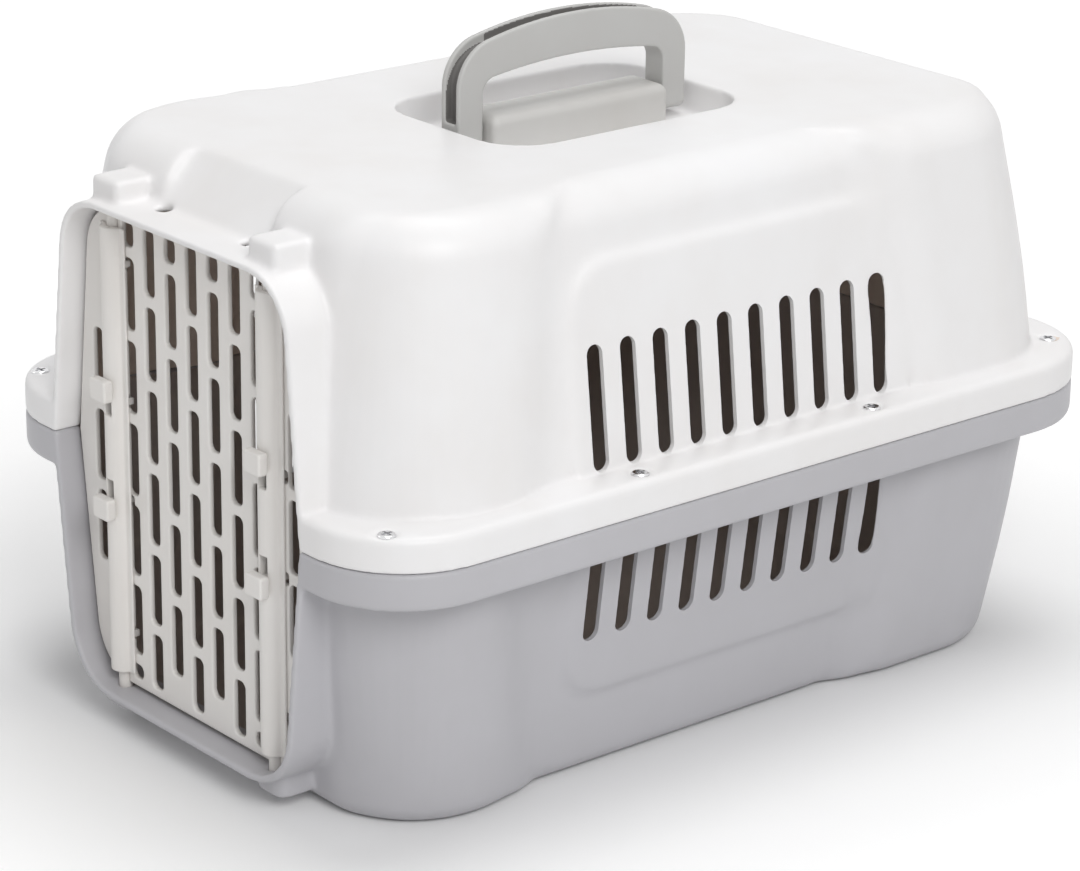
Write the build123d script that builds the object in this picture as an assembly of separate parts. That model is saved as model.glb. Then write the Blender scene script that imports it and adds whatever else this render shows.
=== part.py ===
from build123d import *
import math
import os

# Pet carrier: two moulded shells joined at a flange, a lattice door on four spring
# latch rods, and a carrying handle that folds into a recess in the roof.
# Front (door) faces -Y, width along X, origin on the floor under the middle.

os.makedirs("parts", exist_ok=True)

# Overall sizes
length = 473.4
flange_half = 161.0
parting_z = 142.5
roof_z = 290.5
wall = 2.6
clearance = 0.3
running = 0.08

# Flange
upper_flange_height = 17.0
lower_flange_height = 19.0
flange_front_radius = 50.0
flange_rear_radius = 57.0
flange_edge_round = 4.0
flange_skin = 3.0

# Body walls, measured at the parting height
body_half = 148.5
waist_half = 139.5
body_front_inset = 11.0
body_rear_inset = 14.0
body_corner_radius = 60.0
draft = 7.0
shoulder_radius = 22.0
base_radius = 12.0
waist_front_upper = -146.0
waist_front_lower = -158.0
waist_rear = 118.0
waist_slope = 12.0

# Raised vent panels
panel_raise = 3.0
panel_front = -108.0
panel_rear = 103.0
panel_top_z = 257.5
panel_bottom_z = 43.5
panel_radius = 26.0

# Vent slots in the sides
vent_count = 10
vent_pitch = 20.0
vent_first_y = -93.9
vent_width = 9.5
vent_top_z = 219.5
vent_bottom_z = 73.5

# Door tunnel and rim
rim_wall = 3.5
rim_top_z = 266.5
rim_bottom_z = 15.5
rim_half_top = 89.5
rim_half_mid = 102.5
rim_half_bottom = 88.5
rim_top_radius = 30.0
rim_bottom_radius = 34.0
tunnel_depth = 42.0
tunnel_clear = 4.0

# Door
door_recess = 12.6
door_thickness = 2.8
door_gap = 2.2
door_slot_width = 9.0
door_slot_height = 36.0
door_slot_radius = 3.2
door_column_pitch = 17.06
door_row_pitch = 41.4
door_slot_low_z = 25.5
door_slot_high_z = 258.0
door_slot_least = 6.0
door_corner_least = 12.0
lattice_drop = 3.3
strip_slot_x = 78.5
strip_slot_width = 8.0
strip_slot_low_z = 40.0
strip_slot_high_z = 235.0

# Latch rods and their covers
rod_x = 62.5
rod_radius = 3.4
rod_travel = 10.0
rod_behind = 0.4
cover_radius = 7.0
channel_wall = 2.2
cover_foot = 3.2
cover_foot_thickness = 1.4
cover_top_z = 253.5
cover_bottom_z = 27.5
upper_knob_z = 173.5
lower_knob_z = 113.5
knob_width = 13.0
knob_height = 11.0
knob_neck_width = 5.0
knob_neck_height = 7.0
knob_setback = 0.6
knob_corner_round = 1.6
knob_face_round = 1.0
rod_tip_chamfer = 0.8
upper_tip_z = 273.5
lower_tip_z = 10.5
window_size = 6.0
window_offset = 8.6
window_zs = (47.5, 117.5, 167.0, 235.5)
hook_half_height = 1.8
hook_thickness = 1.8
hook_catch = 0.8
hook_reach = 1.6

# Latch springs
spring_wire = 0.8
spring_radius = 2.7
spring_turns = 6
stop_height = 3.0
stop_half = 2.4
coil_gap = 0.1

# Socket bosses
socket_half_width = 11.0
socket_depth = 21.0
socket_setback = 7.5
socket_top_z = 277.0
socket_drop = 22.0
socket_side_round = 3.0
socket_top_round = 2.5
foot_half_width = 11.0
foot_depth = 24.0
foot_low_z = 7.5
foot_side_round = 6.0
foot_low_round = 1.5
tip_clearance = 0.5

# Slanted flat between the upper sockets, and the core holes in front of it
front_pocket_half = 42.0
front_pocket_low = 24.0
front_pocket_high = 50.0
front_pocket_skin = 1.5 * wall
core_hole_x = 34.0
core_hole_half = 3.5
core_hole_setback = 19.0
core_hole_depth = 7.0

# Handle
recess_half_x = 53.0
recess_half_y = 77.0
recess_radius = 25.0
recess_floor_z = 274.5
pivot_z = 284.5
pin_radius = 2.5
bail_half_y = 72.5
bail_inner_half_y = 57.5
bail_top_z = 337.0
bail_corner_z = 325.5
bail_inner_top_z = 316.0
bail_inner_corner_z = 311.0
bail_thickness = 14.0
bail_groove = 8.0
bail_groove_depth = 4.5
bail_foot = 6.8
bail_foot_round = 5.0
bail_corner_radius = 24.0
bail_inner_corner_radius = 8.0
pin_inner_y = 50.0
pin_outer_y = 71.0
block_half_x = 13.5
block_half_y = 55.8
block_top_z = 294.0
block_wall = 2.6
block_end_wall = 6.5
block_corner_radius = 3.0
block_top_round = 5.0
block_hollow_round = 2.0

# Fasteners
screw_head_radius = 4.4
screw_head_height = 2.4
screw_radius = 2.0
screw_boss_radius = 6.0
screw_hole_radius = 2.3
screw_head_round = 1.2
screw_head_gap = 0.5
screw_drive_depth = 1.3
nut_across_flats = 7.0
nut_height = 3.2
nut_setback = 0.6
nut_gap = 0.15
screw_side_x = flange_half - 10.7
screw_front = (flange_half - 21.0, 18.3 - length / 2)
screw_side_ys = (-79.3, 69.9)
screw_rear = (flange_half - 30.8, length / 2 - 20.5)
block_screw_y = 36.0
block_screw_head_radius = 3.4
block_screw_radius = 1.7
block_screw_head_height = 2.0
block_screw_head_round = 0.9
block_screw_gap = 0.2
seat_gap = 0.02
block_screw_tip_z = 286.5

# Reach of the helper solids beyond the carrier
beyond = 100.0

rim_y = -length / 2
rear_y = length / 2
flange_top_z = parting_z + upper_flange_height
flange_bottom_z = parting_z - lower_flange_height
body_front_y = rim_y + body_front_inset
body_rear_y = rear_y - body_rear_inset
door_y = rim_y + door_recess
door_back_y = door_y + door_thickness
rod_y = door_y + rod_behind
knob_front_y = rim_y + knob_setback
tunnel_back_y = rim_y + tunnel_depth
spring_stop_z = (upper_knob_z + lower_knob_z) / 2


def box(x0, x1, y0, y1, z0, z1):
    """Solid block between two corners."""
    middle = ((x0 + x1) / 2, (y0 + y1) / 2, (z0 + z1) / 2)
    return Pos(*middle) * Box(x1 - x0, y1 - y0, z1 - z0)


def cylinder_z(x, y, z0, z1, radius):
    """Upright round bar."""
    return Pos(x, y, (z0 + z1) / 2) * Cylinder(radius, z1 - z0)


def cylinder_y(x, y0, y1, z, radius):
    """Round bar along the length of the carrier."""
    return Pos(x, (y0 + y1) / 2, z) * Rot(90, 0, 0) * Cylinder(radius, y1 - y0)


def plan_face(half_x, front_y, back_y, front_radius, back_radius, z):
    """Rounded outline seen from above, at height z."""
    outline = Polyline(
        (-half_x, front_y), (half_x, front_y), (half_x, back_y), (-half_x, back_y), close=True
    )
    face = make_face(outline)
    rows = face.vertices().group_by(Axis.Y)
    face = fillet(rows[0], front_radius)
    face = fillet(face.vertices().filter_by(lambda v: v.Y > back_y - 1), back_radius)
    return Pos(0, 0, z) * face


def tapered_body(half_x, inset, height, edge_radius):
    """Drafted tub whose open side is at the parting height; height may be negative."""
    radius = body_corner_radius - inset
    face = plan_face(half_x, body_front_y + inset, body_rear_y - inset, radius, radius, parting_z)
    side = 1 if height > 0 else -1
    body = extrude(face, amount=abs(height), dir=(0, 0, side), taper=draft)
    end_edges = body.faces().sort_by(Axis.Z)[-1 if height > 0 else 0].edges()
    return fillet(end_edges, edge_radius)


def waist_prism(front_y, inset):
    """The space between the front and rear bulges, on both sides of the carrier."""
    inner = waist_half / 2
    outer = body_half + beyond
    reach = waist_slope * (outer - waist_half) / (body_half - waist_half)
    back = waist_slope * (waist_half - inner) / (body_half - waist_half)
    front = front_y - inset
    rear = waist_rear + inset
    outline = Polyline(
        (inner, front + waist_slope + back),
        (inner, rear - waist_slope - back),
        (outer, rear - waist_slope + reach),
        (outer, front + waist_slope - reach),
        close=True,
    )
    face = make_face(outline)
    prism = extrude(face, amount=roof_z + 1)
    return prism + mirror(prism, Plane.YZ)


def panel_prism(inset):
    """Rounded outline of the vent panels seen from the side, right through the carrier."""
    low = panel_bottom_z + inset
    high = panel_top_z - inset
    front = panel_front + inset
    rear = panel_rear - inset
    middle = ((front + rear) / 2, (low + high) / 2)
    face = Plane.YZ * Pos(*middle) * RectangleRounded(rear - front, high - low, panel_radius - inset)
    return extrude(face, amount=flange_half, both=True)


def shell_body(height, edge_radius, front_y, inset):
    """Body of one shell: two bulges, a waist between them and a raised vent panel."""
    wide = tapered_body(body_half - inset, inset, height, edge_radius)
    narrow = tapered_body(waist_half - inset, inset, height, edge_radius)
    raised = tapered_body(waist_half + panel_raise - inset, inset, height, edge_radius)
    body = (wide - waist_prism(front_y, inset)) + narrow
    return body + (raised & panel_prism(inset))


def rim_face(inset, y):
    """Door opening outline: flat top, sides widest at the parting, rounded corners."""
    top = rim_top_z - inset
    bottom = rim_bottom_z + inset
    outline = Polyline(
        (-rim_half_bottom + inset, bottom),
        (rim_half_bottom - inset, bottom),
        (rim_half_mid - inset, parting_z),
        (rim_half_top - inset, top),
        (-rim_half_top + inset, top),
        (-rim_half_mid + inset, parting_z),
        close=True,
    )
    face = make_face(outline)
    face = fillet(face.vertices().filter_by(lambda v: v.Y > top - 1), rim_top_radius - inset)
    face = fillet(face.vertices().filter_by(lambda v: v.Y < bottom + 1), rim_bottom_radius - inset)
    return Plane(origin=(0, y, 0), x_dir=(1, 0, 0), z_dir=(0, -1, 0)) * face


def rim_prism(inset, y0, y1):
    """Door opening outline carried along the length from y0 to y1."""
    return extrude(rim_face(inset, y1), amount=y1 - y0)


def above(z):
    """Everything above height z near the carrier."""
    return box(-length, length, -length, length, z, roof_z + beyond)


def below(z):
    """Everything below height z near the carrier."""
    return box(-length, length, -length, length, -beyond, z)


def flange_ring(z0, z1, inset):
    """Full plan outline of the flange between two heights."""
    face = plan_face(
        flange_half - inset,
        rim_y + inset,
        rear_y - inset,
        flange_front_radius - inset,
        flange_rear_radius - inset,
        z0,
    )
    return extrude(face, amount=z1 - z0)


def screw_points():
    """Plan positions of the flange screws, right side then left side."""
    right = [screw_front]
    for y in screw_side_ys:
        right.append((screw_side_x, y))
    right.append(screw_rear)
    left = []
    for x, y in right:
        left.append((-x, y))
    return right + left


def vent_slots(z0, z1):
    """Row of upright round-ended slots through both side walls."""
    slots = []
    middle = (z0 + z1) / 2
    for index in range(vent_count):
        y = vent_first_y + index * vent_pitch
        face = Plane.YZ * Pos(y, middle) * SlotOverall(z1 - z0, vent_width, rotation=90)
        slots.append(extrude(face, amount=flange_half - 2, both=True))
    return slots


def flange_pockets(z0, z1):
    """Hollow under a flange plate, leaving the outer skirt and the screw bosses."""
    hollow = flange_ring(z0, z1, flange_skin)
    for x, y in screw_points():
        hollow -= cylinder_z(x, y, z0 - 1, z1 + 1, screw_boss_radius)
    return hollow


def make_upper_shell():
    """Roof shell with the upper half of the door tunnel and the handle recess."""
    height = roof_z - parting_z
    body = shell_body(height, shoulder_radius, waist_front_upper, 0)
    cavity = shell_body(height - wall, shoulder_radius - wall, waist_front_upper, wall)
    flange = flange_ring(parting_z, flange_top_z, 0)
    flange = fillet(flange.faces().sort_by(Axis.Z)[-1].edges(), flange_edge_round)
    flange -= flange_pockets(parting_z, flange_top_z - flange_skin)
    tunnel = rim_prism(0, rim_y, tunnel_back_y) & above(parting_z)
    shell = body + flange + tunnel + make_upper_sockets()
    shell -= front_pocket(0, 0)
    shell += front_pocket_wall()
    cavity -= handle_recess(wall, recess_floor_z - wall)
    cavity -= front_pocket(wall, front_pocket_skin)
    shell -= cavity
    shell -= handle_recess(0, recess_floor_z)
    shell -= rim_prism(rim_wall, rim_y - 1, tunnel_back_y + tunnel_clear)
    for slot in vent_slots(flange_top_z + 0.4, vent_top_z):
        shell -= slot
    for side in (-1, 1):
        x = side * rod_x
        shell -= cylinder_z(x, rod_y, rim_top_z - 12, upper_tip_z + tip_clearance, rod_radius + running)
        shell -= box(
            side * core_hole_x - core_hole_half,
            side * core_hole_x + core_hole_half,
            rim_y + core_hole_setback,
            rim_y + core_hole_setback + core_hole_depth,
            rim_top_z - rim_wall - 1,
            roof_z,
        )
    for x, y in screw_points():
        shell -= cylinder_z(x, y, parting_z - 1, flange_top_z + 1, screw_hole_radius)
        seat = flange_top_z - screw_head_height
        shell -= cylinder_z(x, y, seat, flange_top_z + 1, screw_head_radius + screw_head_gap)
    for x, y in block_screw_points():
        radius = block_screw_radius + block_screw_gap
        shell -= cylinder_z(x, y, recess_floor_z - wall - 1, recess_floor_z + 1, radius)
    return largest(shell)


def largest(shape):
    """The main solid of a result."""
    return shape.solids().sort_by(SortBy.VOLUME)[-1]


def make_upper_sockets():
    """Bosses above the door tunnel that take the tips of the upper rods."""
    sockets = None
    front = rim_y + socket_setback
    for side in (-1, 1):
        x = side * rod_x
        block = box(
            x - socket_half_width,
            x + socket_half_width,
            front,
            front + socket_depth,
            rim_top_z - socket_drop,
            socket_top_z,
        )
        block = fillet(block.edges().filter_by(Axis.Z), socket_side_round)
        block = fillet(block.faces().sort_by(Axis.Z)[-1].edges(), socket_top_round)
        sockets = block if sockets is None else sockets + block
    return sockets & above(parting_z)


def front_pocket(grow, back):
    """Slanted flat cut into the shoulder between the two sockets."""
    low_y = rim_y + front_pocket_low + back
    high_y = rim_y + front_pocket_high + back
    face = make_face(
        Polyline(
            (low_y, rim_top_z),
            (high_y, roof_z + 1),
            (rim_y - beyond, roof_z + 1),
            (rim_y - beyond, rim_top_z),
            close=True,
        )
    )
    return extrude(Plane.YZ * face, amount=front_pocket_half + grow, both=True)


def front_pocket_wall():
    """Wall behind the slanted flat."""
    low_y = rim_y + front_pocket_low
    high_y = rim_y + front_pocket_high
    face = make_face(
        Polyline(
            (low_y, rim_top_z),
            (high_y, roof_z),
            (high_y + front_pocket_skin, roof_z - 0.5),
            (low_y + front_pocket_skin, rim_top_z - rim_wall),
            (low_y, rim_top_z - rim_wall),
            close=True,
        )
    )
    return extrude(Plane.YZ * face, amount=front_pocket_half + wall, both=True)


def handle_recess(grow, floor_z):
    """Rounded pocket in the roof for the folded handle."""
    face = RectangleRounded(
        2 * (recess_half_x + grow), 2 * (recess_half_y + grow), recess_radius + grow
    )
    return extrude(Pos(0, 0, floor_z) * face, amount=roof_z + 1 - floor_z)


def make_lower_shell():
    """Floor shell with the lower half of the door tunnel and the rod feet."""
    body = shell_body(-parting_z, base_radius, waist_front_lower, 0)
    cavity = shell_body(wall - parting_z, base_radius - wall, waist_front_lower, wall)
    flange = flange_ring(flange_bottom_z, parting_z, 0)
    flange = fillet(flange.faces().sort_by(Axis.Z)[0].edges(), flange_edge_round)
    flange -= flange_pockets(flange_bottom_z, parting_z - flange_skin)
    tunnel = rim_prism(0, rim_y, tunnel_back_y) & below(parting_z)
    shell = body + flange + tunnel + make_lower_sockets()
    shell -= cavity
    shell -= rim_prism(rim_wall, rim_y - 1, tunnel_back_y + tunnel_clear)
    for slot in vent_slots(vent_bottom_z, flange_bottom_z - 0.4):
        shell -= slot
    for side in (-1, 1):
        x = side * rod_x
        shell -= cylinder_z(x, rod_y, lower_tip_z - tip_clearance, rim_bottom_z + 20, rod_radius + running)
    for x, y in screw_points():
        shell -= cylinder_z(x, y, flange_bottom_z - 1, parting_z + 1, screw_hole_radius)
        pocket = RegularPolygon(nut_across_flats / 2 + nut_gap, 6, major_radius=False)
        shell -= extrude(Pos(x, y, flange_bottom_z - 1) * pocket, amount=nut_height + 2)
    return largest(shell)


def make_lower_sockets():
    """Feet under the door tunnel that take the tips of the lower rods."""
    feet = None
    front = rim_y + socket_setback
    high = rim_bottom_z + socket_drop
    for side in (-1, 1):
        x = side * rod_x
        block = box(
            x - foot_half_width,
            x + foot_half_width,
            front,
            front + foot_depth,
            foot_low_z,
            high,
        )
        block = fillet(block.edges().filter_by(Axis.Z), foot_side_round)
        block = fillet(block.faces().sort_by(Axis.Z)[0].edges(), foot_low_round)
        feet = block if feet is None else feet + block
    return feet


def rounded_slot(x, z0, z1, width):
    """One window of the door lattice."""
    radius = min(door_slot_radius, (z1 - z0) / 2 - 0.2)
    face = RectangleRounded(width, z1 - z0, radius)
    place = Plane(origin=(x, door_back_y + 1, (z0 + z1) / 2), x_dir=(1, 0, 0), z_dir=(0, -1, 0))
    return extrude(place * face, amount=door_thickness + 2)


def lattice_spans(half_row):
    """Heights of the windows in one column of the lattice."""
    spans = []
    middle = parting_z - lattice_drop
    offset = door_row_pitch / 2 if half_row else 0
    for row in range(-4, 4):
        centre = middle + row * door_row_pitch + offset
        low = max(centre - door_slot_height / 2, door_slot_low_z)
        high = min(centre + door_slot_height / 2, door_slot_high_z)
        if high - low > door_slot_least:
            spans.append((low, high))
    return spans


def make_door_panel():
    """Flat lattice door that follows the tunnel outline."""
    face = rim_face(rim_wall + door_gap, door_back_y)
    door = extrude(face, amount=door_thickness)
    for column in range(-3, 4):
        for low, high in lattice_spans(column % 2 == 0):
            if abs(column) == 1 and high - low < door_corner_least and low < parting_z:
                continue
            door -= rounded_slot(column * door_column_pitch, low, high, door_slot_width)
    for side in (-1, 1):
        for low, high in lattice_spans(False):
            if low > strip_slot_low_z and high < strip_slot_high_z:
                door -= rounded_slot(side * strip_slot_x, low, high, strip_slot_width)
        rib = cylinder_z(side * rod_x, rod_y, cover_bottom_z, cover_top_z, rod_radius + running + channel_wall)
        door += rib & box(-flange_half, flange_half, door_back_y - 1, tunnel_back_y, 0, roof_z)
        door -= rod_channel(side)
        for z in window_zs:
            for hand in (-1, 1):
                door -= window(side * rod_x + hand * window_offset, z)
        stop_z = spring_stop_z
        door += box(
            side * rod_x - stop_half,
            side * rod_x + stop_half,
            rod_y - stop_half,
            door_y + 1,
            stop_z - stop_height / 2,
            stop_z + stop_height / 2,
        )
    return largest(door)


def window(x, z):
    """Square hole for one snap hook of a rod cover."""
    half = window_size / 2
    return box(x - half, x + half, door_y - 1, door_back_y + 1, z - half, z + half)


def rod_channel(side):
    """Shallow groove in the door face behind a rod."""
    return cylinder_z(side * rod_x, rod_y, rim_bottom_z, rim_top_z, rod_radius + running)


def make_rod_cover(side):
    """Half-round cover that holds two rods and their springs against the door."""
    x = side * rod_x
    front = door_y - seat_gap
    tube = cylinder_z(x, rod_y, cover_bottom_z, cover_top_z, cover_radius)
    tube &= box(x - cover_radius, x + cover_radius, rod_y - cover_radius, front, cover_bottom_z, cover_top_z)
    half_foot = cover_radius + cover_foot
    foot = box(x - half_foot, x + half_foot, front - cover_foot_thickness, front, cover_bottom_z, cover_top_z)
    cover = tube + foot
    cover -= cylinder_z(x, rod_y, cover_bottom_z - 1, cover_top_z + 1, rod_radius + running)
    for knob_z, travel in ((upper_knob_z, -rod_travel), (lower_knob_z, rod_travel)):
        low = min(knob_z, knob_z + travel) - knob_neck_height / 2 - clearance
        high = max(knob_z, knob_z + travel) + knob_neck_height / 2 + clearance
        half = knob_neck_width / 2 + clearance
        cover -= box(x - half, x + half, rim_y, rod_y, low, high)
    notch_half = stop_half + clearance
    stop_z = spring_stop_z
    cover -= box(
        x - notch_half,
        x + notch_half,
        rod_y - notch_half,
        door_y + 1,
        stop_z - stop_height / 2 - clearance,
        stop_z + stop_height / 2 + clearance,
    )
    for z in window_zs:
        for hand in (-1, 1):
            cover += snap_hook(x + hand * window_offset, z, hand)
    return largest(cover)


def snap_hook(x, z, hand):
    """Hooked tab that passes through a window and catches behind the door."""
    half = window_size / 2 - clearance
    stem_half = hook_thickness / 2
    stem_x = x - hand * (half - stem_half)
    low = z - hook_half_height
    high = z + hook_half_height
    end_y = door_back_y + hook_reach
    stem = box(stem_x - stem_half, stem_x + stem_half, door_y - 1, end_y, low, high)
    catch_x = x - hand * (half + hook_catch)
    inner = min(catch_x, stem_x)
    outer = max(catch_x, stem_x)
    return stem + box(inner, outer, door_back_y + coil_gap, end_y, low, high)


def make_rod(side, upper):
    """Latch rod with its finger knob."""
    x = side * rod_x
    knob_z = upper_knob_z if upper else lower_knob_z
    seat = knob_z - knob_neck_height / 2 if upper else knob_z + knob_neck_height / 2
    tip = upper_tip_z if upper else lower_tip_z
    rod = cylinder_z(x, rod_y, min(seat, tip), max(seat, tip), rod_radius)
    tip_edges = rod.faces().sort_by(Axis.Z)[-1 if upper else 0].edges()
    rod = chamfer(tip_edges, rod_tip_chamfer)
    neck = box(
        x - knob_neck_width / 2,
        x + knob_neck_width / 2,
        knob_front_y + 2,
        rod_y,
        knob_z - knob_neck_height / 2,
        knob_z + knob_neck_height / 2,
    )
    knob_back_y = rod_y - cover_radius - clearance
    knob = box(
        x - knob_width / 2,
        x + knob_width / 2,
        knob_front_y,
        knob_back_y,
        knob_z - knob_height / 2,
        knob_z + knob_height / 2,
    )
    knob = fillet(knob.edges().filter_by(Axis.Y), knob_corner_round)
    knob = fillet(knob.faces().sort_by(Axis.Y)[0].edges(), knob_face_round)
    return rod + neck + knob


def make_spring(side, upper):
    """Compression coil between the fixed stop and a rod."""
    x = side * rod_x
    if upper:
        low = spring_stop_z + stop_height / 2 + spring_wire / 2 + coil_gap
        high = upper_knob_z - knob_neck_height / 2 - spring_wire / 2 - coil_gap
    else:
        low = lower_knob_z + knob_neck_height / 2 + spring_wire / 2 + coil_gap
        high = spring_stop_z - stop_height / 2 - spring_wire / 2 - coil_gap
    pitch = (high - low) / spring_turns
    path = Helix(pitch=pitch, height=high - low, radius=spring_radius, center=(x, rod_y, low))
    start = Plane(origin=path @ 0, z_dir=path % 0)
    return sweep(start * Circle(spring_wire / 2), path=path)


def bail_outline(inset):
    """Outer side view of the bail: straight legs under an arched grip."""
    half = bail_half_y - inset
    foot_z = pivot_z - bail_foot
    shoulder = bail_corner_z - inset
    legs = Polyline((-half, shoulder), (-half, foot_z), (half, foot_z), (half, shoulder))
    arch = ThreePointArc((half, shoulder), (0, bail_top_z - inset), (-half, shoulder))
    face = make_face(legs + arch)
    corners = face.vertices().filter_by(lambda v: abs(v.Y - shoulder) < 0.1)
    return fillet(corners, bail_corner_radius - inset)


def bail_window():
    """Hand hole of the bail, open at the feet."""
    half = bail_inner_half_y
    low = pivot_z - bail_foot - 5
    shoulder = bail_inner_corner_z
    legs = Polyline((-half, shoulder), (-half, low), (half, low), (half, shoulder))
    arch = ThreePointArc((half, shoulder), (0, bail_inner_top_z), (-half, shoulder))
    face = make_face(legs + arch)
    corners = face.vertices().filter_by(lambda v: abs(v.Y - shoulder) < 0.1)
    return fillet(corners, bail_inner_corner_radius)


def make_bail():
    """Carrying bail with a groove round its outer edge and a pin hole in each leg."""
    face = Plane.YZ * (bail_outline(0) - bail_window())
    bail = extrude(face, amount=bail_thickness / 2, both=True)
    low = pivot_z - bail_foot
    feet = bail.edges().filter_by(Axis.Y).filter_by(lambda e: e.center().Z < low + 0.1)
    bail = fillet(feet, bail_foot_round)
    groove_face = Plane.YZ * (bail_outline(-1) - bail_outline(bail_groove_depth))
    groove = extrude(groove_face, amount=bail_groove / 2, both=True)
    bail -= groove & above(pivot_z + bail_foot)
    for end in (-1, 1):
        near = min(end * pin_inner_y, end * pin_outer_y)
        far = max(end * pin_inner_y, end * pin_outer_y)
        bail -= cylinder_y(0, near - clearance, far + clearance, pivot_z, pin_radius + running)
    return bail


def make_block():
    """Fixed hinge block between the legs of the bail, hollow underneath."""
    block = box(-block_half_x, block_half_x, -block_half_y, block_half_y, recess_floor_z, block_top_z)
    block = fillet(block.edges().filter_by(Axis.Z), block_corner_radius)
    block = fillet(block.faces().sort_by(Axis.Z)[-1].edges(), block_top_round)
    hollow = box(
        -block_half_x + block_wall,
        block_half_x - block_wall,
        -block_half_y + block_end_wall,
        block_half_y - block_end_wall,
        recess_floor_z - 1,
        block_top_z - block_wall,
    )
    hollow = fillet(hollow.edges().filter_by(Axis.Z), block_hollow_round)
    hollow = fillet(hollow.faces().sort_by(Axis.Z)[-1].edges(), block_top_round - block_wall)
    for x, y in block_screw_points():
        hollow -= cylinder_z(x, y, recess_floor_z - 2, block_top_z, 2 * block_screw_radius + 1)
    block -= hollow
    for x, y in block_screw_points():
        block -= cylinder_z(x, y, recess_floor_z - 1, block_screw_tip_z + 1, block_screw_radius)
    for end in (-1, 1):
        near = min(end * pin_inner_y, end * pin_outer_y)
        far = max(end * pin_inner_y, end * pin_outer_y)
        block -= cylinder_y(0, near, far, pivot_z, pin_radius)
    return block


def make_pin(end):
    """Steel pivot pin between the hinge block and one leg."""
    near = min(end * pin_inner_y, end * pin_outer_y)
    far = max(end * pin_inner_y, end * pin_outer_y)
    return cylinder_y(0, near, far, pivot_z, pin_radius)


def block_screw_points():
    """Plan positions of the screws under the hinge block."""
    return [(0, -block_screw_y), (0, block_screw_y)]


def cross_recess(x, y, top_z, radius, depth):
    """Cross-shaped drive recess in a screw head."""
    arm = radius * 0.62
    slim = radius * 0.17
    long_arm = box(x - arm, x + arm, y - slim, y + slim, top_z - depth, top_z + 1)
    cross_arm = box(x - slim, x + slim, y - arm, y + arm, top_z - depth, top_z + 1)
    return long_arm + cross_arm


def make_flange_screws():
    """Pan-head screws that clamp the two shells together."""
    screws = []
    seat = flange_top_z - screw_head_height + seat_gap
    for x, y in screw_points():
        head = cylinder_z(x, y, seat, seat + screw_head_height, screw_head_radius)
        head = fillet(head.faces().sort_by(Axis.Z)[-1].edges(), screw_head_round)
        head -= cross_recess(x, y, seat + screw_head_height, screw_head_radius, screw_drive_depth)
        screws.append(head + cylinder_z(x, y, flange_bottom_z + block_screw_gap, seat, screw_radius))
    return Compound(children=screws)


def make_flange_nuts():
    """Hexagon nuts in the pockets under the lower flange."""
    nuts = []
    low = flange_bottom_z + nut_setback
    for x, y in screw_points():
        outline = RegularPolygon(nut_across_flats / 2, 6, major_radius=False)
        body = extrude(Pos(x, y, low) * outline, amount=nut_height - nut_setback - seat_gap)
        nuts.append(body - cylinder_z(x, y, flange_bottom_z, parting_z, screw_radius))
    return Compound(children=nuts)


def make_block_screws():
    """Screws driven from inside the cabin up into the hinge block."""
    screws = []
    seat = recess_floor_z - wall - seat_gap
    for x, y in block_screw_points():
        head = cylinder_z(x, y, seat - block_screw_head_height, seat, block_screw_head_radius)
        head = fillet(head.faces().sort_by(Axis.Z)[0].edges(), block_screw_head_round)
        screws.append(head + cylinder_z(x, y, seat, block_screw_tip_z, block_screw_radius))
    return Compound(children=screws)


def write(name, shape):
    """Write one piece to its own file."""
    shape.label = name
    export_step(shape, os.path.join("parts", name + ".step"))


write("upper_shell", make_upper_shell())
write("lower_shell", make_lower_shell())
write("door_panel", make_door_panel())
for side, hand in ((-1, "left"), (1, "right")):
    write(hand + "_rod_cover", make_rod_cover(side))
    for upper, level in ((True, "upper"), (False, "lower")):
        write(level + "_" + hand + "_rod", make_rod(side, upper))
        write(level + "_" + hand + "_spring", make_spring(side, upper))
write("handle_bail", make_bail())
write("hinge_block", make_block())
write("front_hinge_pin", make_pin(-1))
write("rear_hinge_pin", make_pin(1))
write("hinge_block_screws", make_block_screws())
write("flange_screws", make_flange_screws())
write("flange_nuts", make_flange_nuts())
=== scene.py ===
import math

import bmesh
import bpy
import numpy as np
from mathutils import Matrix, Vector


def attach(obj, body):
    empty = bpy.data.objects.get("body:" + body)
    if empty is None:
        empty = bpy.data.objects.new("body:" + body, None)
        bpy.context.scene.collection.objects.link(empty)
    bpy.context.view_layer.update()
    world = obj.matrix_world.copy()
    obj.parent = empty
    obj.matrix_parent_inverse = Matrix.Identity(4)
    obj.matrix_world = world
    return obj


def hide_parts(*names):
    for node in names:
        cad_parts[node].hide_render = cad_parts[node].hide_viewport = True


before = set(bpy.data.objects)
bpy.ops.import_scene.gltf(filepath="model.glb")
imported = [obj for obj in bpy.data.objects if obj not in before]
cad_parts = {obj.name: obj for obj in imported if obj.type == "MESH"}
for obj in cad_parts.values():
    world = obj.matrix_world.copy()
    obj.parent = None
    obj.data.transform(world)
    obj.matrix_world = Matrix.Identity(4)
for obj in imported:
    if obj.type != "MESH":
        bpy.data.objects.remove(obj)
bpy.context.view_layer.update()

MM = 0.001

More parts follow.
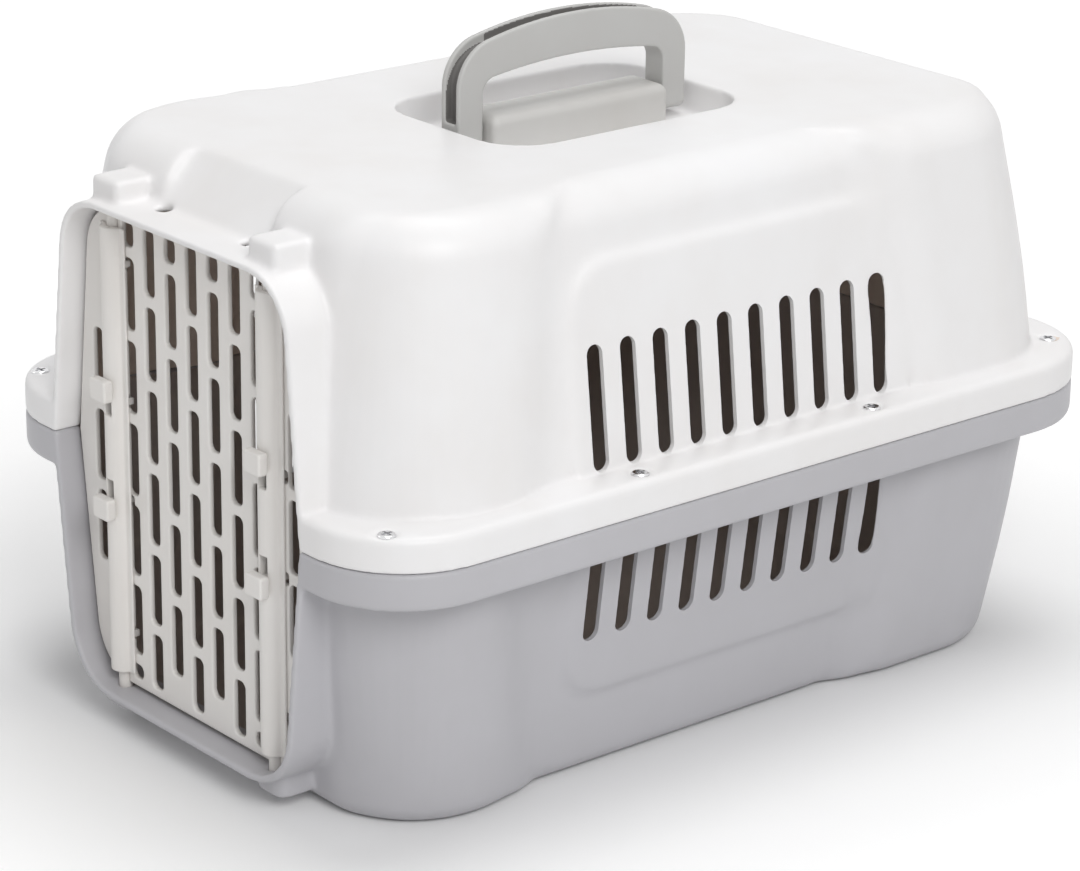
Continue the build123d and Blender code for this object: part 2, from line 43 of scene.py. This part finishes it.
# Where the carrier's main forms lie, in millimetres, as in the part's source.
PARTING_Z = 142.5
ROOF_Z = 290.5
FLANGE_TOP_Z = 159.5
FLANGE_BOTTOM_Z = 123.5
BODY_HALF = 148.5
WAIST_HALF = 139.5
BODY_FRONT_Y = -225.7
BODY_REAR_Y = 222.7
TUNNEL_BACK_Y = -194.7
WAIST_FRONT_UPPER = -146.0
WAIST_FRONT_LOWER = -158.0
WAIST_REAR = 118.0
WAIST_SLOPE = 12.0
PANEL_Y = (-108.0, 103.0)
PANEL_Z = (43.5, 257.5)
PANEL_RADIUS = 26.0
DRAFT = math.tan(math.radians(7.0))
CORNER_RADIUS = 60.0
RAMP_SPREAD = 1.5
BAIL_HALF = 72.5
BAIL_TOP_Z = 337.0
BAIL_ARCH = 11.5
BAIL_ROUND = 24.0
BAIL_ROUND_Z = 304.0
VENT_COUNT = 10
VENT_PITCH = 20.0
VENT_FIRST_Y = -93.9
VENT_WIDTH = 9.5
VENT_UPPER = (159.9, 219.5)
VENT_LOWER = (73.5, 123.1)
VENT_STEPS = 20
VENT_NARROWING = 0.45
CUTTER_HALF = 160.0

# How far from the middle plane the cabin's inner and outer skins are reshaped.
WAIST_WARP_FROM = (70.0, 105.0)
WAIST_WARP_TO = (149.5, 157.0)
RAMP_FROM = (72.0, 92.0)
CORNER_FROM = (76.0, 104.0)
PANEL_FROM = (105.0, 115.0)
VENT_WALL_X = 110.0

# The cabin's middle, from which inward facing walls are told apart and given painted shade.
CABIN_CORE = ((-60.0, -150.0, 60.0), (60.0, 150.0, 230.0))
FACING_INWARD = -0.35

# The channel round the bail's outer edge, painted dark as painted shade.
CHANNEL_HALF = 4.3
CHANNEL_DEPTH = (0.9, 6.5)
CHANNEL_LOW_Z = 291.0

# Voxel sizes in millimetres, and rounds of smoothing, for the skins.
SHELL_VOXEL = 1.2
SHELL_ROUNDS = 3
PANEL_ROUNDS = 18
POCKET_ROUNDS = 14
RAMP_ROUNDS = 50
CORNER_ROUND_UPPER = 62.0
CORNER_ROUND_LOWER = 52.0
RELAX_SHARE = 0.7
SHARP_ANGLE = math.radians(50)

# The floor's patch that is never whitened, left darker as painted shadow, and its reach in metres.
FOOTPRINT = (0.12, 0.19, 0.0)
LIFT_NEAR = 0.30
LIFT_FAR = 1.5
AIM = (0.0, 0.0, 0.12)
LAMP_SIZE = 1.4


def smoothstep(low, high, value):
    """0 below low, 1 above high, and an even S between."""
    t = np.clip((value - low) / (high - low), 0.0, 1.0)
    return t * t * (3 - 2 * t)


class Shader:
    """Short ways to build a node material."""

    def __init__(self, name):
        self.material = bpy.data.materials.new(name)
        self.material.use_nodes = True
        self.tree = self.material.node_tree
        self.bsdf = self.tree.nodes["Principled BSDF"]
        self.place = self.node("ShaderNodeTexCoord").outputs["Object"]

    def node(self, kind, **settings):
        made = self.tree.nodes.new(kind)
        for key, value in settings.items():
            setattr(made, key, value)
        return made

    def link(self, source, target):
        self.tree.links.new(source, target)

    def noise(self, scale, detail=3.0, rough=0.55, stretch=None):
        place = self.place
        if stretch:
            mapping = self.node("ShaderNodeMapping")
            mapping.inputs["Scale"].default_value = stretch
            self.link(place, mapping.inputs["Vector"])
            place = mapping.outputs["Vector"]
        made = self.node("ShaderNodeTexNoise")
        made.inputs["Scale"].default_value = scale
        made.inputs["Detail"].default_value = detail
        made.inputs["Roughness"].default_value = rough
        self.link(place, made.inputs["Vector"])
        return made.outputs["Fac"]

    def spread(self, value, low, high, out_low, out_high):
        made = self.node("ShaderNodeMapRange")
        limits = {"From Min": low, "From Max": high, "To Min": out_low, "To Max": out_high}
        for key, number in limits.items():
            made.inputs[key].default_value = number
        self.link(value, made.inputs["Value"])
        return made.outputs["Result"]

    def mix(self, factor, a, b, blend="MIX"):
        made = self.node("ShaderNodeMix", data_type="RGBA", blend_type=blend)
        for socket, value in ((made.inputs[0], factor), (made.inputs[6], a), (made.inputs[7], b)):
            if isinstance(value, bpy.types.NodeSocket):
                self.link(value, socket)
            elif isinstance(value, (int, float)):
                socket.default_value = value
            else:
                socket.default_value = (*value, 1.0)
        return made.outputs[2]

    def bump(self, height, strength, distance, under=None):
        made = self.node("ShaderNodeBump")
        made.inputs["Strength"].default_value = strength
        made.inputs["Distance"].default_value = distance
        self.link(height, made.inputs["Height"])
        if under is not None:
            self.link(under, made.inputs["Normal"])
        return made.outputs["Normal"]


def moulded_plastic(name, colour, rough=0.42, grain=900.0, grain_depth=0.00004, warm=0.012, edge=0.06):
    """Satin polypropylene: faint flow clouding and fine spark-eroded grain, with a painted highlight
    that lightens the convex edges and painted shade that darkens the creases.
    """
    s = Shader(name)
    cloud = s.noise(9.0, 4.0, 0.6)
    flow = s.noise(26.0, 3.0, 0.5, stretch=(1.0, 1.0, 0.22))
    fine = s.noise(grain, 2.0, 0.6)
    specks = s.noise(2600.0, 1.0, 0.5)
    light = tuple(min(1.0, c * 1.025) for c in colour)
    dark = tuple(c * k for c, k in zip(colour, (0.965 + warm, 0.965, 0.965 - warm)))
    tint = s.mix(s.spread(cloud, 0.35, 0.65, 0.0, 1.0), dark, light)
    streak = s.mix(s.spread(flow, 0.4, 0.62, 0.0, 0.35), tint, light)
    pointy = s.node("ShaderNodeNewGeometry").outputs["Pointiness"]
    # Convex edges (high pointiness) mixed towards white by up to edge: a painted highlight.
    edge_highlight = s.mix(s.spread(pointy, 0.51, 0.58, 0.0, edge), streak, (1.0, 1.0, 1.0))
    # Hollows and creases (low pointiness) mixed towards a darker colour: painted shade.
    crease_shade = s.mix(s.spread(pointy, 0.42, 0.495, 0.10, 0.0), edge_highlight, tuple(c * 0.72 for c in colour))
    s.link(crease_shade, s.bsdf.inputs["Base Color"])
    shine = s.spread(s.noise(34.0, 3.0, 0.6), 0.3, 0.7, rough - 0.05, rough + 0.06)
    s.link(shine, s.bsdf.inputs["Roughness"])
    coarse = s.bump(fine, 0.35, grain_depth)
    s.link(s.bump(specks, 0.15, grain_depth * 0.5, coarse), s.bsdf.inputs["Normal"])
    s.bsdf.inputs["IOR"].default_value = 1.49
    s.bsdf.inputs["Specular IOR Level"].default_value = 0.45
    return s.material


def metal(name, colour, rough, brushed=0.0):
    """Bright plated steel with fine wear in its roughness."""
    s = Shader(name)
    wear = s.noise(420.0, 4.0, 0.65)
    dulled = s.mix(s.spread(wear, 0.4, 0.7, 0.0, 0.6), colour, tuple(c * 0.8 for c in colour))
    s.link(dulled, s.bsdf.inputs["Base Color"])
    s.link(s.spread(wear, 0.3, 0.7, rough - 0.05, rough + 0.1), s.bsdf.inputs["Roughness"])
    fine = s.noise(1500.0, 2.0, 0.5, stretch=(1.0, 1.0, 1.0 - 0.9 * brushed))
    s.link(s.bump(fine, 0.2, 0.00002), s.bsdf.inputs["Normal"])
    s.bsdf.inputs["Metallic"].default_value = 1.0
    return s.material


upper_plastic = moulded_plastic("upper_plastic", (0.87, 0.866, 0.872), rough=0.40)
lower_plastic = moulded_plastic("lower_plastic", (0.505, 0.50, 0.525), rough=0.42, warm=0.004)
door_plastic = moulded_plastic("door_plastic", (0.83, 0.81, 0.785), rough=0.40, grain=1300.0)
bail_plastic = moulded_plastic("bail_plastic", (0.53, 0.53, 0.52), rough=0.45, grain=1300.0)
# Dark grey standing for the shade inside the bail's channel: painted shade.
bail_channel_shade = moulded_plastic("bail_channel_shade", (0.17, 0.165, 0.16), rough=0.6, grain=1300.0)
block_plastic = moulded_plastic("block_plastic", (0.60, 0.595, 0.58), rough=0.45, grain=1300.0)
# Inner walls: darker than the outer plastic as painted shade, and warmed as painted light let through
# the walls.
cabin_upper_shade = moulded_plastic("cabin_upper_shade", (0.80, 0.69, 0.61), rough=0.5)
cabin_lower_shade = moulded_plastic("cabin_lower_shade", (0.48, 0.43, 0.40), rough=0.5)
chrome = metal("screw_chrome", (0.78, 0.78, 0.79), 0.16)
steel = metal("spring_steel", (0.62, 0.62, 0.63), 0.28, 0.9)


def evaluated(obj):
    """The mesh of obj with its modifiers applied."""
    graph = bpy.context.evaluated_depsgraph_get()
    graph.update()
    return bpy.data.meshes.new_from_object(obj.evaluated_get(graph))


def settle(obj):
    """Apply all of obj's modifiers."""
    mesh = evaluated(obj)
    obj.modifiers.clear()
    obj.data = mesh


def add_object(name, mesh):
    obj = bpy.data.objects.new(name, mesh)
    bpy.context.scene.collection.objects.link(obj)
    return obj


def skin_of(node, name, voxel, prepare=None):
    """A closed even mesh over a CAD node, with its sharp edges just broken."""
    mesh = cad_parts[node].data.copy()
    mesh.materials.clear()
    bm = bmesh.new()
    bm.from_mesh(mesh)
    bmesh.ops.remove_doubles(bm, verts=bm.verts, dist=2e-6)
    bm.to_mesh(mesh)
    bm.free()
    if prepare:
        write_points(mesh, prepare(read_points(mesh)))
    obj = add_object(name, mesh)
    remesh = obj.modifiers.new("Remesh", "REMESH")
    remesh.mode = "VOXEL"
    remesh.voxel_size = voxel * MM
    settle(obj)
    return obj


def read_points(mesh):
    co = np.empty(len(mesh.vertices) * 3)
    mesh.vertices.foreach_get("co", co)
    return co.reshape(-1, 3) / MM


def write_points(mesh, co):
    mesh.vertices.foreach_set("co", (co * MM).astype(np.float32).ravel())
    mesh.update()


def read_edges(mesh):
    edges = np.empty(len(mesh.edges) * 2, np.int64)
    mesh.edges.foreach_get("vertices", edges)
    return edges.reshape(-1, 2)


def relax(co, edges, weight, rounds):
    """Even out co where weight is above 0, by moving each point towards its neighbours' mean."""
    live = weight > 0
    near = edges[live[edges].any(axis=1)]
    used, inner = np.unique(near, return_inverse=True)
    inner = inner.reshape(near.shape)
    a = np.concatenate([inner[:, 0], inner[:, 1]])
    b = np.concatenate([inner[:, 1], inner[:, 0]])
    count = np.bincount(a, minlength=len(used))
    local = co[used]
    w = weight[used][:, None] * RELAX_SHARE
    for _ in range(rounds):
        mean = np.stack([np.bincount(a, local[b, k], len(used)) / count for k in range(3)], axis=1)
        local += w * (mean - local)
    co[used] = local
    return co


def shade(obj):
    """Smooth shading that keeps the sharp edges."""
    obj.data.polygons.foreach_set("use_smooth", np.ones(len(obj.data.polygons), bool))
    obj.data.set_sharp_from_angle(angle=SHARP_ANGLE)
    obj.data.update()


def dress(obj, body, slot, materials, *nodes):
    """Give a piece its materials and its body, and hide the CAD nodes it stands for; slot is not used.
    """
    obj.data.materials.clear()
    for material in materials:
        obj.data.materials.append(material)
    shade(obj)
    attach(obj, body)
    if nodes:
        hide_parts(*nodes)
    return obj


def rise_at(z):
    """How far the drafted walls lean in at height z."""
    return np.abs(z - PARTING_Z) * DRAFT


def ramp_edges(z, front_y):
    """Where the front and rear ramps between bulge and waist start, at height z."""
    lean = rise_at(z) * WAIST_SLOPE / (BODY_HALF - WAIST_HALF)
    return front_y + lean, WAIST_REAR - lean


def waist_warp(co, front_y):
    """Turn the straight ramps between the bulges and the waist into long S curves."""
    y = co[:, 1]
    depth = BODY_HALF - WAIST_HALF
    half = RAMP_SPREAD * WAIST_SLOPE

    def ramp(edge, outward):
        inner = edge - outward * WAIST_SLOPE
        straight = np.clip((y - inner) / (edge - inner), 0.0, 1.0)
        soft = smoothstep(-half, half, (y - (edge + inner) / 2) * outward)
        return (soft - straight) * depth

    front, rear = ramp_edges(co[:, 2], front_y)
    shift = ramp(front, -1) + ramp(rear, 1)
    reach = np.abs(co[:, 0])
    weight = smoothstep(*WAIST_WARP_FROM, reach) * (1 - smoothstep(*WAIST_WARP_TO, reach))
    co[:, 0] += np.sign(co[:, 0]) * shift * weight
    return co


def ramp_weight(co, front_y):
    """Where the ramps and the edges they leave on the shoulder are softened."""
    front, rear = ramp_edges(co[:, 2], front_y)
    y = co[:, 1]
    near = np.zeros(len(co))
    for edge, outward in ((front, -1), (rear, 1)):
        middle = edge - outward * WAIST_SLOPE / 2
        near = np.maximum(near, 1 - smoothstep(14, 24, np.abs(y - middle)))
    z = co[:, 2]
    clear = smoothstep(FLANGE_TOP_Z + 1, FLANGE_TOP_Z + 9, z)
    clear = clear + 1 - smoothstep(FLANGE_BOTTOM_Z - 9, FLANGE_BOTTOM_Z - 1, z)
    return near * np.clip(clear, 0, 1) * smoothstep(*RAMP_FROM, np.abs(co[:, 0]))


def corner_warp(co, target_radius, low_z, high_z):
    """Round the plan corners of the body to a larger radius towards the roof or the floor."""
    z = co[:, 2]
    rise = rise_at(z)
    strength = smoothstep(low_z, high_z, z) if high_z > low_z else smoothstep(-low_z, -high_z, -z)
    half = BODY_HALF - rise
    old = np.maximum(CORNER_RADIUS - rise, 5)
    new = old + np.maximum(target_radius - old, 0) * strength
    q = new - old
    keep = smoothstep(*CORNER_FROM, np.abs(co[:, 0]))
    for end, sign_y in ((BODY_FRONT_Y, -1), (BODY_REAR_Y, 1)):
        out = end * sign_y - rise
        u = np.abs(co[:, 0]) - (half - new)
        v = co[:, 1] * sign_y - (out - new)
        live = (u > 0) & (v > 0) & (q > 0)
        size = np.maximum(np.hypot(u, v), 1e-6)
        c, s = np.clip(u / size, 0, 1), np.clip(v / size, 0, 1)
        flat = new / np.maximum(np.maximum(c, s), 1e-6)
        arc = q * (c + s) + np.sqrt(np.maximum(old**2 - q**2 * (c - s) ** 2, 0))
        on_flat = new * np.minimum(c, s) <= q * np.maximum(c, s)
        reach = np.where(on_flat, flat, arc)
        pull = (1 - new / np.maximum(reach, 1e-6)) * np.clip(size / new, 0, 1)
        pull = np.where(live, pull, 0.0) * keep
        sx = np.sign(co[:, 0])
        co[:, 0] -= sx * u * pull
        co[:, 1] -= sign_y * v * pull
    return co


def panel_distance(co):
    """Distance in the side view from the outline of the vent panels."""
    y_mid, z_mid = sum(PANEL_Y) / 2, sum(PANEL_Z) / 2
    a = np.abs(co[:, 1] - y_mid) - ((PANEL_Y[1] - PANEL_Y[0]) / 2 - PANEL_RADIUS)
    b = np.abs(co[:, 2] - z_mid) - ((PANEL_Z[1] - PANEL_Z[0]) / 2 - PANEL_RADIUS)
    outside = np.hypot(np.maximum(a, 0), np.maximum(b, 0))
    return outside + np.minimum(np.maximum(a, b), 0) - PANEL_RADIUS


def panel_weight(co):
    """Where the step round the vent panels is softened."""
    away = np.abs(panel_distance(co))
    flange = smoothstep(FLANGE_TOP_Z + 2, FLANGE_TOP_Z + 8, co[:, 2])
    flange += 1 - smoothstep(FLANGE_BOTTOM_Z - 8, FLANGE_BOTTOM_Z - 2, co[:, 2])
    side = smoothstep(*PANEL_FROM, np.abs(co[:, 0]))
    return (1 - smoothstep(4.0, 8.0, away)) * np.clip(flange, 0, 1) * side


def mark_cabin_shade(obj, index):
    """Give the faces that look into the cabin their own material slot, which paints them darker as
    painted shade.
    """
    mesh = obj.data
    count = len(mesh.polygons)
    centre = np.empty(count * 3)
    normal = np.empty(count * 3)
    mesh.polygons.foreach_get("center", centre)
    mesh.polygons.foreach_get("normal", normal)
    centre = centre.reshape(-1, 3) / MM
    normal = normal.reshape(-1, 3)
    core = np.clip(centre, *CABIN_CORE)
    out = centre - core
    out /= np.maximum(np.linalg.norm(out, axis=1), 1e-6)[:, None]
    facing = (out * normal).sum(axis=1)
    inner = (facing < FACING_INWARD) & (centre[:, 1] > TUNNEL_BACK_Y + 1)
    inner &= np.abs(centre[:, 0]) < BODY_HALF - 1
    mesh.polygons.foreach_set("material_index", np.where(inner, index, 0).astype(np.int32))


def vent_distance(co, span):
    """Distance in the side view from the nearest vent's outline, and that vent's middle."""
    index = np.clip(np.round((co[:, 1] - VENT_FIRST_Y) / VENT_PITCH), 0, VENT_COUNT - 1)
    y = VENT_FIRST_Y + index * VENT_PITCH
    radius = VENT_WIDTH / 2
    z = np.clip(co[:, 2], span[0] + radius, span[1] - radius)
    return np.hypot(co[:, 1] - y, co[:, 2] - z) - radius, y, z


def narrow_vents(span):
    """Draws the vents in before remeshing, so that they can be cut again with clean edges."""

    def prepare(co):
        away, y, z = vent_distance(co, span)
        on_vent = (np.abs(away) < 0.05) & (np.abs(co[:, 0]) > VENT_WALL_X)
        co[on_vent, 1] += (y[on_vent] - co[on_vent, 1]) * VENT_NARROWING
        co[on_vent, 2] += (z[on_vent] - co[on_vent, 2]) * VENT_NARROWING
        return co

    return prepare


def vent_cutter(span):
    """All the vents of one shell as round-ended bars across it."""
    bm = bmesh.new()
    radius = VENT_WIDTH / 2 * MM
    for index in range(VENT_COUNT):
        y = (VENT_FIRST_Y + index * VENT_PITCH) * MM
        ring = []
        for end, z in ((0, span[1] * MM - radius), (1, span[0] * MM + radius)):
            for step in range(VENT_STEPS + 1):
                angle = math.pi * (end + step / VENT_STEPS)
                ring.append((y + radius * math.cos(angle), z + radius * math.sin(angle)))
        sides = [[bm.verts.new((x * MM, a, b)) for a, b in ring] for x in (-CUTTER_HALF, CUTTER_HALF)]
        count = len(ring)
        for k in range(count):
            j = (k + 1) % count
            bm.faces.new((sides[0][k], sides[0][j], sides[1][j], sides[1][k]))
        bm.faces.new(sides[0][::-1])
        bm.faces.new(sides[1])
    bmesh.ops.recalc_face_normals(bm, faces=bm.faces)
    mesh = bpy.data.meshes.new("vents")
    bm.to_mesh(mesh)
    bm.free()
    return add_object("vents", mesh)


def cut(obj, cutter):
    """Take cutter out of obj."""
    modifier = obj.modifiers.new("Cut", "BOOLEAN")
    modifier.operation = "DIFFERENCE"
    modifier.solver = "MANIFOLD"
    modifier.object = cutter
    settle(obj)
    bpy.data.objects.remove(cutter)


def span(value, low, high, fade):
    """One from low to high, falling to nought over the fade on either side."""
    return smoothstep(low - fade, low, value) * (1 - smoothstep(high, high + fade, value))


def pocket_weight(co):
    """One along the cheeks and the upper edge of the slanted pocket over the door."""
    x, y, z = np.abs(co[:, 0]), co[:, 1], co[:, 2]
    cheeks = span(x, 30, 48, 4) * span(y, -228, -184, 4) * smoothstep(262, 268, z)
    upper_edge = (1 - smoothstep(40, 44, x)) * span(y, -191, -183, 3) * smoothstep(282, 286, z)
    return np.maximum(cheeks, upper_edge)


def make_shell(node, name, front_y, target_radius, low_z, high_z, vents, materials, slot):
    """One half of the body, with soft ramps, rounder corners and clean vents."""
    obj = skin_of(node, name, SHELL_VOXEL, narrow_vents(vents))
    co = read_points(obj.data)
    edges = read_edges(obj.data)
    co = relax(co, edges, np.ones(len(co)), SHELL_ROUNDS)
    co = relax(co, edges, panel_weight(co), PANEL_ROUNDS)
    co = relax(co, edges, pocket_weight(co), POCKET_ROUNDS)
    co = waist_warp(co, front_y)
    co = relax(co, edges, ramp_weight(co, front_y), RAMP_ROUNDS)
    co = corner_warp(co, target_radius, low_z, high_z)
    write_points(obj.data, co)
    cut(obj, vent_cutter(vents))
    dress(obj, "shell", slot, materials, node)
    mark_cabin_shade(obj, 1)
    return obj


make_shell(
    "upper_shell", "upper_shell_skin", WAIST_FRONT_UPPER, CORNER_ROUND_UPPER, FLANGE_TOP_Z, ROOF_Z,
    VENT_UPPER, (upper_plastic, cabin_upper_shade), "upper_plastic",
)
make_shell(
    "lower_shell", "lower_shell_skin", WAIST_FRONT_LOWER, CORNER_ROUND_LOWER, FLANGE_BOTTOM_Z, 0.0,
    VENT_LOWER, (lower_plastic, cabin_lower_shade), "lower_plastic",
)


def make_small(node, body, slot, material, voxel, rounds):
    """A moulding with slightly rounded edges."""
    obj = skin_of(node, node + "_skin", voxel)
    co = read_points(obj.data)
    co = relax(co, read_edges(obj.data), np.ones(len(co)), rounds)
    write_points(obj.data, co)
    return dress(obj, body, slot, (material,), node)


def mark_channel_shade(obj):
    """Give the channel round the bail's outer edge a darker material as painted shade."""
    mesh = obj.data
    mesh.materials.append(bail_channel_shade)
    centre = np.empty(len(mesh.polygons) * 3)
    mesh.polygons.foreach_get("center", centre)
    x, y, z = (centre.reshape(-1, 3) / MM).T
    radius = (BAIL_HALF**2 + BAIL_ARCH**2) / (2 * BAIL_ARCH)
    crown = BAIL_TOP_Z - radius + np.sqrt(radius**2 - np.minimum(np.abs(y), BAIL_HALF) ** 2)
    depth = np.minimum(BAIL_HALF - np.abs(y), crown - z)
    past_y = np.abs(y) - (BAIL_HALF - BAIL_ROUND)
    past_z = z - BAIL_ROUND_Z
    corner = np.hypot(np.maximum(past_y, 0), np.maximum(past_z, 0))
    depth = np.where((past_y > 0) & (past_z > 0), BAIL_ROUND - corner, depth)
    inside = (np.abs(x) < CHANNEL_HALF) & (z > CHANNEL_LOW_Z)
    inside &= (depth > CHANNEL_DEPTH[0]) & (depth < CHANNEL_DEPTH[1])
    mesh.polygons.foreach_set("material_index", np.where(inside, 1, 0).astype(np.int32))


make_small("door_panel", "door", "door_plastic", door_plastic, 0.6, 2)
for hand in ("left", "right"):
    make_small(hand + "_rod_cover", "door", "door_plastic", door_plastic, 0.45, 2)
    for level in ("upper", "lower"):
        rod = f"{level}_{hand}_rod"
        make_small(rod, f"{level}_{hand}_latch", "door_plastic", door_plastic, 0.45, 2)
mark_channel_shade(make_small("handle_bail", "handle", "handle_plastic", bail_plastic, 0.55, 4))
make_small("hinge_block", "shell", "handle_plastic", block_plastic, 0.55, 4)

for name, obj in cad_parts.items():
    if obj.hide_render:
        continue
    obj.data.materials.clear()
    obj.data.materials.append(steel if "spring" in name or "pin" in name else chrome)


def seen_directly(tree, path):
    """One for rays from the camera, mirrored or let through, nought for light."""
    total = path.outputs["Is Camera Ray"]
    for ray in ("Is Glossy Ray", "Is Transmission Ray"):
        larger = tree.nodes.new("ShaderNodeMath")
        larger.operation = "MAXIMUM"
        tree.links.new(total, larger.inputs[0])
        tree.links.new(path.outputs[ray], larger.inputs[1])
        total = larger.outputs[0]
    return total


def floor_lift_with_painted_shadow(s):
    """How much the floor is whitened, from nothing under the carrier to full far from it, so that the
    floor near the carrier is darker as painted shadow.
    """
    place = s.node("ShaderNodeNewGeometry")
    size = s.node("ShaderNodeVectorMath")
    size.operation = "ABSOLUTE"
    s.link(place.outputs["Position"], size.inputs[0])
    beyond = s.node("ShaderNodeVectorMath")
    beyond.operation = "SUBTRACT"
    beyond.inputs[1].default_value = FOOTPRINT
    s.link(size.outputs[0], beyond.inputs[0])
    clear = s.node("ShaderNodeVectorMath")
    clear.operation = "MAXIMUM"
    clear.inputs[1].default_value = (0.0, 0.0, 0.0)
    s.link(beyond.outputs[0], clear.inputs[0])
    distance = s.node("ShaderNodeVectorMath")
    distance.operation = "LENGTH"
    s.link(clear.outputs[0], distance.inputs[0])
    # The first ramp leaves the floor round the carrier darker: painted shadow.
    near = s.spread(distance.outputs["Value"], 0.0, LIFT_NEAR, 0.0, 0.30)
    far = s.spread(distance.outputs["Value"], LIFT_NEAR, LIFT_FAR, 0.0, 0.25)
    total = s.node("ShaderNodeMath")
    total.operation = "ADD"
    s.link(near, total.inputs[0])
    s.link(far, total.inputs[1])
    return total.outputs[0]


def make_floor():
    """A wide pale sweep that keeps the carrier's shadow, with painted shadow added close round it."""
    bm = bmesh.new()
    bmesh.ops.create_grid(bm, x_segments=40, y_segments=40, size=6.0)
    mesh = bpy.data.meshes.new("floor")
    bm.to_mesh(mesh)
    bm.free()
    obj = add_object("floor", mesh)
    s = Shader("floor")
    s.bsdf.inputs["Roughness"].default_value = 0.9
    s.bsdf.inputs["Specular IOR Level"].default_value = 0.1
    tone = s.mix(s.spread(s.noise(3.0), 0.3, 0.7, 0.0, 1.0), (0.91, 0.91, 0.91), (0.92, 0.92, 0.92))
    s.link(tone, s.bsdf.inputs["Base Color"])
    path = s.node("ShaderNodeLightPath")
    lift = s.node("ShaderNodeEmission")
    s.link(floor_lift_with_painted_shadow(s), lift.inputs["Strength"])
    add = s.node("ShaderNodeAddShader")
    s.link(s.bsdf.outputs[0], add.inputs[0])
    s.link(lift.outputs[0], add.inputs[1])
    choose = s.node("ShaderNodeMixShader")
    s.link(seen_directly(s.tree, path), choose.inputs[0])
    s.link(s.bsdf.outputs[0], choose.inputs[1])
    s.link(add.outputs[0], choose.inputs[2])
    s.link(choose.outputs[0], s.tree.nodes["Material Output"].inputs["Surface"])
    mesh.materials.append(s.material)


def make_world():
    """Soft light all round, and a white backdrop for rays that see it directly."""
    world = bpy.data.worlds.new("studio")
    bpy.context.scene.world = world
    world.use_nodes = True
    nodes, links = world.node_tree.nodes, world.node_tree.links
    lamp = nodes["Background"]
    lamp.inputs["Color"].default_value = (1.0, 1.0, 1.0, 1.0)
    lamp.inputs["Strength"].default_value = 0.36
    seen = nodes.new("ShaderNodeBackground")
    seen.inputs["Color"].default_value = (1.0, 1.0, 1.0, 1.0)
    seen.inputs["Strength"].default_value = 1.0
    path = nodes.new("ShaderNodeLightPath")
    mix = nodes.new("ShaderNodeMixShader")
    links.new(seen_directly(world.node_tree, path), mix.inputs[0])
    links.new(lamp.outputs[0], mix.inputs[1])
    links.new(seen.outputs[0], mix.inputs[2])
    links.new(mix.outputs[0], nodes["World Output"].inputs["Surface"])


def add_lamp(name, place, power):
    """A round soft lamp that shines at the carrier."""
    data = bpy.data.lights.new(name, "AREA")
    data.shape = "DISK"
    data.size = LAMP_SIZE
    data.energy = power
    obj = bpy.data.objects.new(name, data)
    bpy.context.scene.collection.objects.link(obj)
    obj.location = place
    obj.rotation_mode = "QUATERNION"
    obj.rotation_quaternion = (Vector(AIM) - Vector(place)).to_track_quat("-Z", "Y")


def make_camera():
    """The camera of the photograph, found by fitting the carrier's outlines."""
    azimuth, elevation, roll = (math.radians(v) for v in (49.90, 19.92, 0.82))
    target = Vector((0.0, -0.0133, 0.1195))
    distance = 1.8631
    back = Vector(
        (
            math.sin(azimuth) * math.cos(elevation),
            -math.cos(azimuth) * math.cos(elevation),
            math.sin(elevation),
        )
    )
    right = (-back).cross(Vector((0, 0, 1))).normalized()
    up = right.cross(-back)
    rolled_right = math.cos(roll) * right + math.sin(roll) * up
    rolled_up = -math.sin(roll) * right + math.cos(roll) * up
    data = bpy.data.cameras.new("camera")
    data.sensor_width = 36.0
    data.lens = 123.33
    data.clip_start = 0.05
    data.clip_end = 50.0
    obj = bpy.data.objects.new("camera", data)
    bpy.context.scene.collection.objects.link(obj)
    turn = Matrix((rolled_right, rolled_up, back)).transposed()
    obj.matrix_world = Matrix.Translation(target + back * distance) @ turn.to_4x4()
    bpy.context.scene.camera = obj


make_floor()
make_world()
add_lamp("key", (2.2, -0.9, 1.9), 34.5)
add_lamp("fill", (-1.6, -1.8, 1.2), 4.0)
add_lamp("top", (0.0, 0.3, 2.4), 18.0)
make_camera()
bpy.context.scene.view_settings.view_transform = "Standard"
